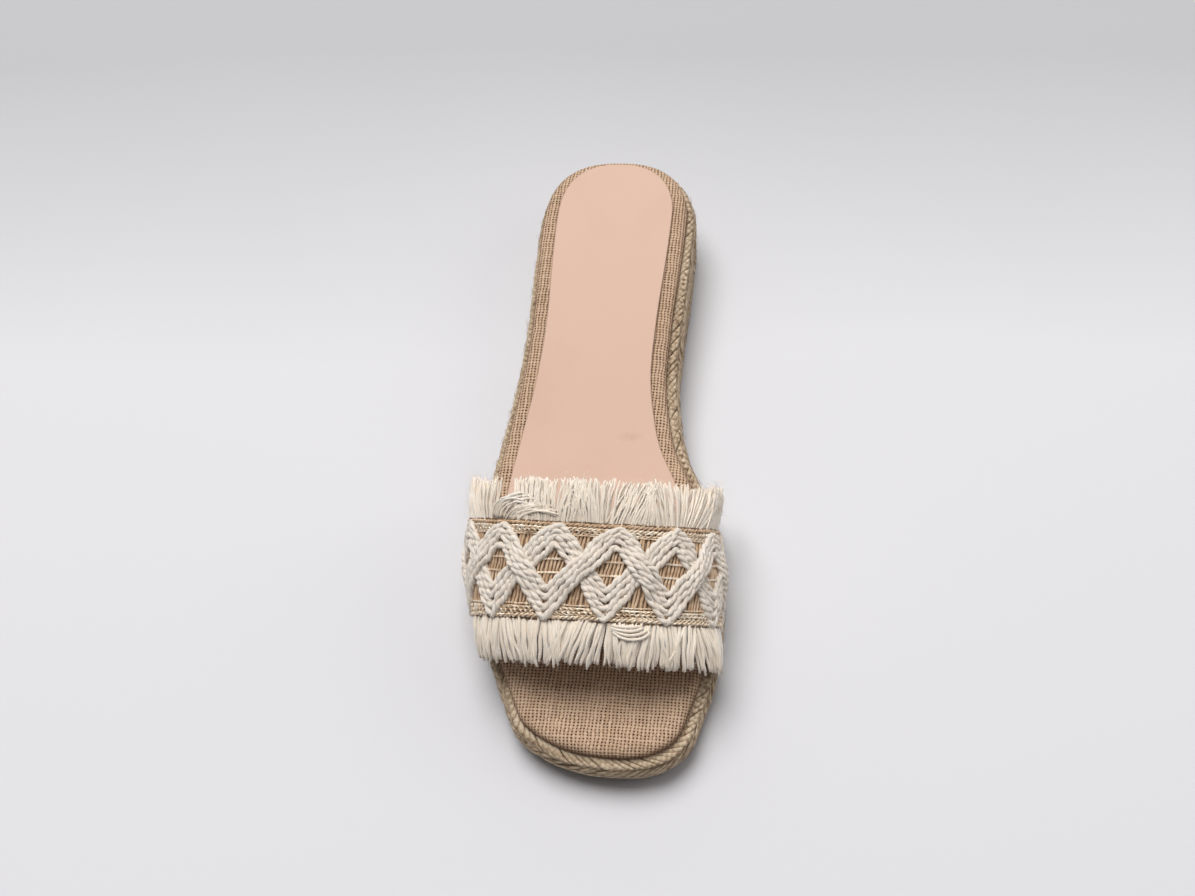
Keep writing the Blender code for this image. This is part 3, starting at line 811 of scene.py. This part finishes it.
def over_arch(arc, out, lift, sag=0.0):
    """Takes what is drawn flat over the strap. Out is measured from the rear edge to the front one and
    may lie past either, where a fringe goes straight on and sags."""
    arc, out, lift = np.broadcast_arrays(arc, out, lift)
    v = np.clip(out / BAND_WIDTH, 0, 1)
    point = on_arch(arc, v)
    forward = unit(on_arch(arc, np.clip(v + 0.04, 0, 1)) - on_arch(arc, np.clip(v - 0.04, 0, 1)))
    tangent = unit(on_arch(arc + 1 * MM, v) - on_arch(arc - 1 * MM, v))
    normal = unit(np.cross(forward, tangent))
    normal *= np.sign(normal[:, 2:] + 0.2 * np.sign(point[:, :1]) * normal[:, :1] + 1e-9)
    past = out - v * BAND_WIDTH
    placed = point + forward * past[:, None] + normal * lift[:, None]
    placed[:, 2] -= sag * past * past
    return placed


def in_order(items, place):
    """Puts a mesh's corners or faces in one fixed order, which extruding leaves to chance."""
    ranks = {item: rank for rank, item in enumerate(sorted(items, key=place))}
    items.sort(key=ranks.get)
    items.index_update()


def strap_band():
    """The ground as a closed shell, with its own UV in metres of cloth."""
    maker = bmesh.new()
    cloth = maker.loops.layers.uv.new("cloth")
    bmesh.ops.create_grid(maker, x_segments=150, y_segments=26, size=0.5)
    for vert in maker.verts:
        v = vert.co.y + 0.5
        low, high = arc_range(v)
        vert.co = (low + (high - low) * (vert.co.x + 0.5), v * BAND_WIDTH, -BAND_UNDER)
    for face in maker.faces:
        for loop in face.loops:
            loop[cloth].uv = loop.vert.co.xy
    shell = bmesh.ops.extrude_face_region(maker, geom=maker.faces[:])
    for vert in (item for item in shell["geom"] if isinstance(item, bmesh.types.BMVert)):
        vert.co.z = -STRAP_WALL
    lay_out(maker, over_arch)
    bmesh.ops.recalc_face_normals(maker, faces=maker.faces)
    if maker.calc_volume(signed=True) < 0:
        bmesh.ops.reverse_faces(maker, faces=maker.faces)
    in_order(maker.verts, lambda vert: vert.co[:])
    in_order(maker.faces, lambda face: sorted(vert.index for vert in face.verts))
    return mesh_of("strap_band", maker)


# Its cloth colours are painted shade for the gaps between the ribs.
band_finish = cloth_finish(
    "band_ground", (BAND_PITCH, BAND_PITCH), 0.0, BAND_SHADE_CLOTH, covers=(0.85, 0.85), depth=0.0, wander=0.5
)
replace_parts(dress("strap_band", strap_band(), band_finish), "strap")


# ---- Ribs ----
# Tan ribs run across the band from edge to edge, a little aslant, and show in the diamonds. Two
# thin doubled gold threads lie over them and tie them down.
RIB_PITCH, RIB_THICK, RIB_SHY = 1.36 * MM, 0.94 * MM, 0.6 * MM
RIB_SLANT, RIB_INSET = -0.28, 1.2 * MM
LADDER = (-4.0 * MM, 0.9 * MM)  # where the two threads lie, from the band's middle line
LADDER_HALF, LADDER_THICK, LADDER_LIFT = 0.17 * MM, 0.42 * MM, 0.55 * MM
TAN = ((0.30, 0.17, 0.09), (0.66, 0.45, 0.28), (0.92, 0.72, 0.52))
PALE_GOLD = ((0.42, 0.26, 0.14), (0.86, 0.69, 0.51), (1.0, 0.95, 0.85))


def ribs():
    out = np.linspace(RIB_INSET, BAND_WIDTH - RIB_INSET, 15)
    strands = []
    for arc in np.arange(*arc_range(0.5, RIB_SHY), RIB_PITCH):
        wave = 0.16 * MM * np.sin(out / MM * 0.9 + chance.uniform(0, 6.3))
        slant = (RIB_SLANT + chance.normal(0, 0.012)) * (out - BAND_WIDTH / 2)
        lift = chance.uniform(-0.05, 0.12) * MM + 0.1 * MM * np.sin(out / MM * 1.7 + arc / MM)
        place = arc + slant + wave + chance.normal(0, 0.1) * MM
        strands.append((over_arch(place, out, lift), 1 + stray(0.14)))
    return spun("strap_ribs", strands, RIB_THICK)


def ladders():
    arc = np.arange(*arc_range(0.5, RIB_SHY), 0.32 * MM)
    over = LADDER_LIFT + 0.12 * MM * np.cos(2 * math.pi * arc / RIB_PITCH)
    wander = 0.2 * MM * np.sin(arc / MM * 0.21)
    sides = (-LADDER_HALF, LADDER_HALF)
    middles = [BAND_WIDTH / 2 + middle + side for middle in LADDER for side in sides]
    strands = [(over_arch(arc, middle + wander, over), 1.0) for middle in middles]
    return spun("ladder_threads", strands, LADDER_THICK)


tan_finish = fibre_finish("tan_yarn", 26.0, 9.0, TAN, bump=0.0003, sheen=0.25, roughness=0.7)
gold_finish = fibre_finish("gold_thread", 3.0, 3.0, PALE_GOLD, sheen=0.3, roughness=0.35)
finished(gold_finish, {"Metallic": 0.35})
dress("strap_ribs", ribs(), tan_finish)
dress("ladder_threads", ladders(), gold_finish)


# ---- Edge rows ----
# Over the ribs' ends, both edges of the band are bound with rows of twisted gold and tan threads and
# rows of small loops. Thin dark threads laid beside the outermost rows paint the shade lines there.
BAND = BAND_WIDTH / MM
LOOPS = (3.65, BAND - 2.7, BAND - 3.8)  # where the rows of loops lie across the band, in mm
LOOP_PITCH, LOOP_LONG, LOOP_WIDE, LOOP_THICK = 1.9 * MM, 2.1 * MM, 1.25 * MM, 0.6 * MM
TWISTS = (
    # name, yarn, place across the band, plies' thickness and offset, pitch and lift: in mm
    ("edge_cord_rear", "tan", 0.85, 0.78, 0.36, 3.4, 0.45),
    ("gold_row_rear", "gold", 2.4, 0.74, 0.42, 3.5, 0.62),
    ("gold_line_rear", "gold", 4.85, 0.34, 0.14, 2.0, 0.62),
    ("gold_line_front_1", "gold", BAND - 5.6, 0.36, 0.14, 2.0, 0.62),
    ("gold_line_front_2", "gold", BAND - 4.6, 0.34, 0.14, -2.2, 0.55),
    ("gold_row_front", "gold", BAND - 1.25, 0.78, 0.42, 3.6, 0.6),
    # Dark threads as painted shade: at the band's two edges where the fringes come out, and in the groove
    # between the rear tan cord and gold row.
    ("shade_line_thread_1", "dark", 0.05, 0.42, 0.16, 1.9, 0.35),
    ("shade_line_thread_2", "dark", 1.6, 0.42, 0.16, 1.9, 0.35),
    ("shade_line_thread_3", "dark", BAND - 0.25, 0.42, 0.16, 1.9, 0.35),
)
# the dark threads' colours: painted shade
DARK = ((0.06, 0.03, 0.015), (0.16, 0.09, 0.05), (0.34, 0.22, 0.13))


def ripple(angle):
    """A wave that starts anywhere."""
    return np.sin(angle + chance.uniform(0, 6))


def plied(centre, offset, pitch, start=0.0, uneven=0.0):
    """The two plies of a twisted cord round a centre line drawn flat, (arc, out, lift)."""
    ahead = unit(np.gradient(centre[:, :2], axis=0))
    beside = np.c_[-ahead[:, 1], ahead[:, 0]]
    run = reach_of(centre[:, :2])
    for half_turn in (0.0, 0.5):
        angle = start + 2 * math.pi * (run / pitch + half_turn)
        angle = angle + uneven * np.sin(run / abs(pitch) * 1.7 + start)
        yield centre + offset * np.c_[beside * np.cos(angle)[:, None], np.sin(angle)]


def loops():
    turn = np.linspace(0, 2 * math.pi, 11)[:-1]
    strands = []
    for row, middle in enumerate(LOOPS):
        for arc in np.arange(*arc_range(middle * MM / BAND_WIDTH, 1.2 * MM), LOOP_PITCH):
            skew = 0.35 * chance.uniform(-0.4, 1.0) * (1 if row % 2 else -1)
            size = 1 + stray(0.18)
            x = LOOP_LONG / 2 * np.cos(turn) * size
            y = LOOP_WIDE / 2 * np.sin(turn) * size + skew * x
            lift = 0.7 * MM + 0.3 * MM * np.cos(turn) + stray(0.2 * MM)
            strands.append((over_arch(arc + x, middle * MM + y, lift), 1 + stray(0.15)))
    return spun("gold_loops", strands, LOOP_THICK, sides=0, closed=True)


def edge_row(name, middle, thick, offset, pitch, lift):
    """One twisted row along the band, a little uneven."""
    arc = np.arange(*arc_range(middle / BAND_WIDTH, 0.8 * MM), abs(pitch) / 8)
    out = middle + 0.12 * MM * ripple(arc / MM * 0.33)
    slack = 0.1 * MM * ripple(arc / MM * 1.1)
    plies = plied(np.c_[arc, out, lift + slack], offset, pitch)
    swell = 1 + 0.12 * ripple(arc / MM * 2.3) + chance.normal(0, 0.05, len(arc))
    return spun(name, [(over_arch(*ply.T), swell) for ply in plies], thick)


dress("gold_loops", loops(), gold_finish)
dark_finish = fibre_finish("shade_line_thread", 200.0, 5.0, DARK)
finishes = {"tan": tan_finish, "gold": gold_finish, "dark": dark_finish}
for name, yarn, *sizes in TWISTS:
    dress(name, edge_row(name, *(size * MM for size in sizes)), finishes[yarn])


# ---- Laid cords ----
# Two zigzags of plump cream cotton, four soft two-ply cords side by side in each, laid on the band and
# sewn down. One is laid over the other, and both turn in nested loops near the band's edges.
CORD_PITCH, CORD_START, CORD_SHEAR, CORD_SHY = 20.65 * MM, 8.1 * MM, 5.65 * MM, -1.0 * MM
CORD_TURNS = 7
REAR_TURNS = np.array((20.8, 17.3, 13.9, 10.2)) * MM  # each cord's turn, from the band's middle line
FRONT_TURNS = np.array((7.3, 10.7, 14.1, 17.5)) * MM
TURN_SIDESTEP = 0.45 * MM  # and along it, so that the cords keep one distance on both slopes
PRESSED, PRESSED_SHARE = 11.0 * MM, 0.58  # past here the rear turns are pushed together
REAR_ROUND, FRONT_ROUND = (5.8 * MM, 4.2 * MM), 3.3 * MM
PLY_THICK, PLY_OFFSET, CORD_TWIST = 1.76 * MM, 0.45 * MM, 6.4 * MM
CORD_LIFT, CORD_OVER, CORD_HEAPED = 1.05 * MM, 1.4 * MM, 0.5 * MM
CORD_UNDER = -0.15 * MM
SQUEEZE, SQUEEZE_REACH = 0.26, 4.5 * MM  # how far the cords close up where the zigzags cross
CROSSING_REACH = 5.6 * MM
CORD_STEP, CORD_WOBBLE = 0.6 * MM, 0.21 * MM
CREAM = ((0.84, 0.71, 0.58), (0.97, 0.87, 0.76), (1.0, 0.94, 0.86))


def softened(line, reach):
    """A line of even points with its corners rounded off."""
    half = int(reach / np.linalg.norm(line[1] - line[0]))
    soft = np.hanning(2 * half + 1)
    padded = np.pad(line, ((half, half), (0, 0)), mode="edge")
    soft /= soft.sum()
    return np.stack([np.convolve(column, soft, mode="valid") for column in padded.T], axis=1)


def zigzag(phase, order, uneven):
    """The middle line of one cord, drawn flat as (arc, out), rounder at its rear turns."""
    rear, front = REAR_TURNS[order], FRONT_TURNS[order]
    turns = []
    for k in range(-CORD_TURNS, CORD_TURNS):
        ahead = (k + phase) % 2
        arc = CORD_START + k * CORD_PITCH + CORD_SHEAR * (0.5 - ahead) + TURN_SIDESTEP * (1.5 - order)
        swing = (front if ahead else -rear) + chance.normal(0, 0.12) * MM
        turns.append((arc + uneven[k, 0], swing + uneven[k, 1]))
    line = evenly(np.array(turns), 2800)
    ahead = np.clip(line[:, 1:] / (6 * MM) + 0.5, 0, 1)
    line = softened(line, FRONT_ROUND) * ahead + softened(line, REAR_ROUND[phase]) * (1 - ahead)
    aside = REAR_TURNS.mean() - rear
    crossed = (FRONT_TURNS.mean() - REAR_TURNS.mean()) / 2 + aside
    line[:, 1] -= SQUEEZE * aside * np.exp(-(((line[:, 1] - crossed) / SQUEEZE_REACH) ** 2))
    line[:, 1] += (1 - PRESSED_SHARE) * np.maximum(-line[:, 1] - PRESSED, 0) + BAND_WIDTH / 2
    return evenly(line, int(reach_of(line)[-1] / CORD_STEP))


def laid_cords(phase):
    """One zigzag's cords, cut off at the seam on each side. The first zigzag rides over the other."""
    strands = []
    uneven = chance.normal(0, 0.2, (2 * CORD_TURNS, 2)) * MM
    for order, rear in enumerate(REAR_TURNS):
        line = zigzag(phase, order, uneven)
        step = np.arange(len(line))
        low, high = arc_range(line[:, 1] / BAND_WIDTH, CORD_SHY)
        inside = np.minimum(line[:, 0] - low, high - line[:, 0])
        crossing = (FRONT_TURNS.mean() + 1.4 * MM - rear) / 2
        near = np.exp(-(((line[:, 1] - BAND_WIDTH / 2 - crossing) / CROSSING_REACH) ** 4))
        over = CORD_OVER + (CORD_HEAPED if order in (1, 2) else 0.0)
        lift = CORD_LIFT + near * (over if phase == 0 else CORD_UNDER)
        lift = lift + 0.1 * MM * np.sin(step * 0.21 + order * 2)
        lift = lift * (1 - 0.3 * np.clip((np.abs(line[:, 0]) - 36 * MM) / (8 * MM), 0, 1))
        lift = lift * np.clip(0.1 + inside / (5 * MM), 0.1, 1)
        for column, often in ((1, 0.48), (0, 0.33)):
            line[:, column] += CORD_WOBBLE * ripple(step * often)
        cuts = np.nonzero(np.diff(inside > 0))[0] + 1
        runs = [run for run in np.split(step, cuts) if inside[run[0]] > 0 and len(run) > 6]
        for ply in plied(np.c_[line, lift], PLY_OFFSET, CORD_TWIST, start=order * 1.3, uneven=1.1):
            swell = 1 + 0.07 * np.sin(step * 0.37 + order) - 0.06 * near + 0.06 * ripple(step * 1.13)
            placed = over_arch(*ply.T)
            strands += [(placed[run], swell[run]) for run in runs]
    return strands


cord_finish = fibre_finish("cream_cord", 500.0, 7.0, CREAM, bump=0.0004, sheen=0.4, contrast=0.4)
cotton_lines = []
for phase, name in enumerate(("laid_cords_over", "laid_cords_under")):
    cords = laid_cords(phase)
    cotton_lines += [line for line, _ in cords]
    dress(name, spun(name, cords, PLY_THICK), cord_finish)


# ---- Fringes ----
# The trim's own weft, left long and frayed out at both edges: soft cream cotton yarns in loose tufts.
# The rear one stands back in fans; the front one is plumper and hangs towards the toes.
Fringe = namedtuple("Fringe", "name node way count thick length curl sag flare follow tufts")
Tuft = namedtuple("Tuft", "middle lean fan bend fall", defaults=(0.0, 0.0, 0.0))
REAR_TUFTS = [Tuft(*row) for row in (
    # middle along the band in mm, lean, how its yarns fan out, sideways bend in mm, how far they fall
    (-70, -0.2), (-60, -0.05, 0.15), (-51, -0.35, 0.2), (-43.5, -0.25, 0.2, -1.0),
    (-39.5, 0.05, 0.15), (-34.3, 0.35, 0.1, 0.0, 1.45), (-27.8, 0.85, 0.3, 0.0, 1.1),
    (-20.8, 0.04, 0.14), (-14.0, 0.02, 0.2), (-7.5, 0.30, 0.0, 1.0), (1.5, -0.03, 0.12),
    (12.5, 0.42, 0.10, 0.5), (21.5, 0.16, -0.38), (30.5, 0.0, 0.22, -0.8),
    (40, 0.62, 0.25, 1.5), (50, 0.45, 0.2), (60, -0.1, 0.15), (70, 0.15),
)]
FRONT_TUFTS = [Tuft(*row) for row in (
    (-52, -0.1), (-45, 0.0, 0.1), (-38, -0.06, -0.1, -1.2), (-30, 0.12, 0.0, 0.6),
    (-24, 0.0, 0.0, 0.5), (-18.5, -0.24, 0.0, 0.5), (-14, 0.0), (-7.0, -0.50),
    (1.5, -0.46, 0.05), (10.5, -0.06, -0.06), (19.5, -0.32, 0.1, 0.6), (26.5, 0.03, 0.05),
    (33.5, -0.34, 0.0, 2.2), (41, 0.3, 0.25, 1.2), (50, 0.1, 0.1), (57, 0.1),
)]
FRINGES = (
    # name, node, way out, yarns in a layer, thickness, length, curl, droop, how far it stands out at the
    # sides, how closely each of its layers keeps to the tufts, and the tufts
    Fringe("fringe_yarns_rear", "fringe_rear", -1, 240, 0.72 * MM, 15.8 * MM, 0.85 * MM, 2.5, 2.6 * MM,
           (1.0, 0.95, 0.8), REAR_TUFTS),
    Fringe("fringe_yarns_front", "fringe_front", 1, 108, 1.08 * MM, 15.0 * MM, 0.35 * MM, 12.0, 1.0 * MM,
           (0.85, 0.5, 0.0), FRONT_TUFTS),
)
FRINGE_SHY = 3.0 * MM
YARN_STEPS = 12
TUFT_HALF = 4.5 * MM
STRAY_SHARE = 0.07  # of the top layer's yarns
LAYER_APART = 0.5 * MM
FLARE_FROM, FLARE_OVER = 33 * MM, 10 * MM  # where along the band it starts to stand out
BLEACHED = ((0.88, 0.81, 0.72), (0.97, 0.92, 0.85), (1.0, 0.97, 0.93))
# the painted shade at the fringe yarns' roots
ROOT_SHADE = (0.90, 0.80, 0.68)


def fringe(form):
    """Yarns drawn flat past the band's edge. Those of one tuft lean, fan and bend together."""
    edge = 0.0 if form.way < 0 else BAND_WIDTH
    low, high = arc_range(edge / BAND_WIDTH, FRINGE_SHY)
    middles = np.array([tuft.middle for tuft in form.tufts]) * MM
    borders = (middles[1:] + middles[:-1]) / 2
    leans = np.array([tuft.lean for tuft in form.tufts])
    lengths = form.length * (1 + chance.normal(0, 0.03, len(middles)))
    t = np.linspace(0, 1, YARN_STEPS)
    strands = []
    for layer, follow in enumerate(form.follow):
        for k in range(form.count):
            root = low + (high - low) * (k + 0.5 + stray(0.3)) / form.count
            at = int(np.searchsorted(borders, root + stray(0.8 * MM)))
            tuft = form.tufts[at]
            beside = np.clip((root - middles[at]) / TUFT_HALF, -1.3, 1.3)
            common = np.interp(root, middles, leans)
            slope = follow * (tuft.lean + tuft.fan * beside) + (1 - follow) * common
            slope += chance.normal(0, 0.04)
            strays = chance.uniform(0, 1) < STRAY_SHARE and layer == 0
            slope += stray(0.5) * strays
            length = lengths[at] * (1 + chance.normal(0, 0.035)) * (1 - 0.02 * layer)
            fall = tuft.fall * chance.uniform(0.8, 1.15)
            length *= 1 + 0.08 * fall
            wave = 0.3 * MM * np.sin(2 * math.pi * (length / (9 * MM) * t + chance.uniform(0, 1)))
            bend = tuft.bend * MM * follow * chance.uniform(0.6, 1.3) + form.curl * chance.normal(0, 1)
            aside, ahead = slope * t, t * (1 - 0.12 * slope * slope * t)
            if fall:
                heading = math.atan(slope) + fall * t
                aside, ahead = (np.cumsum(way(heading)) / YARN_STEPS for way in (np.sin, np.cos))
            arc = root + length * aside + bend * t**2 + wave * t
            under = (1.0 + stray(0.6)) * MM
            out = edge + form.way * (length * ahead - under)
            lift = -0.1 * MM - LAYER_APART * layer + chance.normal(0, 0.14) * MM
            lift = lift + stray(0.6 * MM) * t**2
            flare = form.flare * (1 + 0.6 * np.sign(root))
            lift = lift + flare * np.clip((abs(root) - FLARE_FROM) / FLARE_OVER, 0, 1) * t**1.5
            lift = lift + LAYER_APART * (2 - layer) * np.sin(math.pi * t) + 0.6 * MM * fall * t
            swell = (1 + stray(0.16)) * (1 + 0.1 * np.sin(9 * t + k)) * (1 - 0.35 * t**10)
            strands.append((over_arch(arc, out, lift, sag=form.sag), swell))
    return strands


def fallen_lock(sag, strands=4):
    """A few yarns of the front fringe that lie across the others in a slack curve."""
    t = np.linspace(0, 1, 14)
    lines = []
    for k in range(strands):
        arc = (19.6 - 12.6 * t - 1.1 * k * (1 - t)) * MM + 0.25 * MM * np.sin(7 * t + 2 * k)
        dip = (5.1 - 1.35 * k) * MM * np.sin(math.pi * (0.06 + 0.86 * t)) ** 0.45
        lift = (1.3 + 0.7 * np.sin(math.pi * t) + 0.1 * k) * MM
        lines.append((over_arch(arc, BAND_WIDTH + dip, lift, sag=sag), 0.95))
    return lines


yarn_finish = fibre_finish(
    "cream_yarn", 5.0, 6.0, BLEACHED, bump=0.00025, sheen=0.45, contrast=0.35, root=ROOT_SHADE
)
for form in FRINGES:
    yarns = fringe(form) + (fallen_lock(form.sag) if form.way > 0 else [])
    cotton_lines += [line for line, _ in yarns[::4]]
    dressed = dress(form.name, spun(form.name, yarns, form.thick), yarn_finish)
    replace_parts(dressed, form.node)


# ---- Lint ----
# Cut cotton sheds: single fibres, finer than a hair, lift off the laid cords and the fringe yarns.
# Each holds by one end and curls.
LINT_HAIRS, LINT_THICK, LINT_LONG = 3600, 0.075 * MM, (1.6, 3.6)


def lint(lines):
    """Short curled fibres, each from a chance point of a chance line."""
    t = np.linspace(0, 1, 5)[:, None]
    strands = []
    for _ in range(LINT_HAIRS):
        line = lines[chance.integers(len(lines))]
        start = line[chance.integers(len(line))]
        way = unit(chance.normal(0, 1, (2, 3)))
        way[0, 2] = abs(way[0, 2])
        reach = chance.uniform(*LINT_LONG) * MM
        strands.append((start + way[0] * t * reach + way[1] * t * t * reach * 0.7, 1.0 - 0.5 * t[:, 0]))
    return spun("cotton_lint", strands, LINT_THICK, sides=0)


dress("cotton_lint", lint(cotton_lines), yarn_finish)
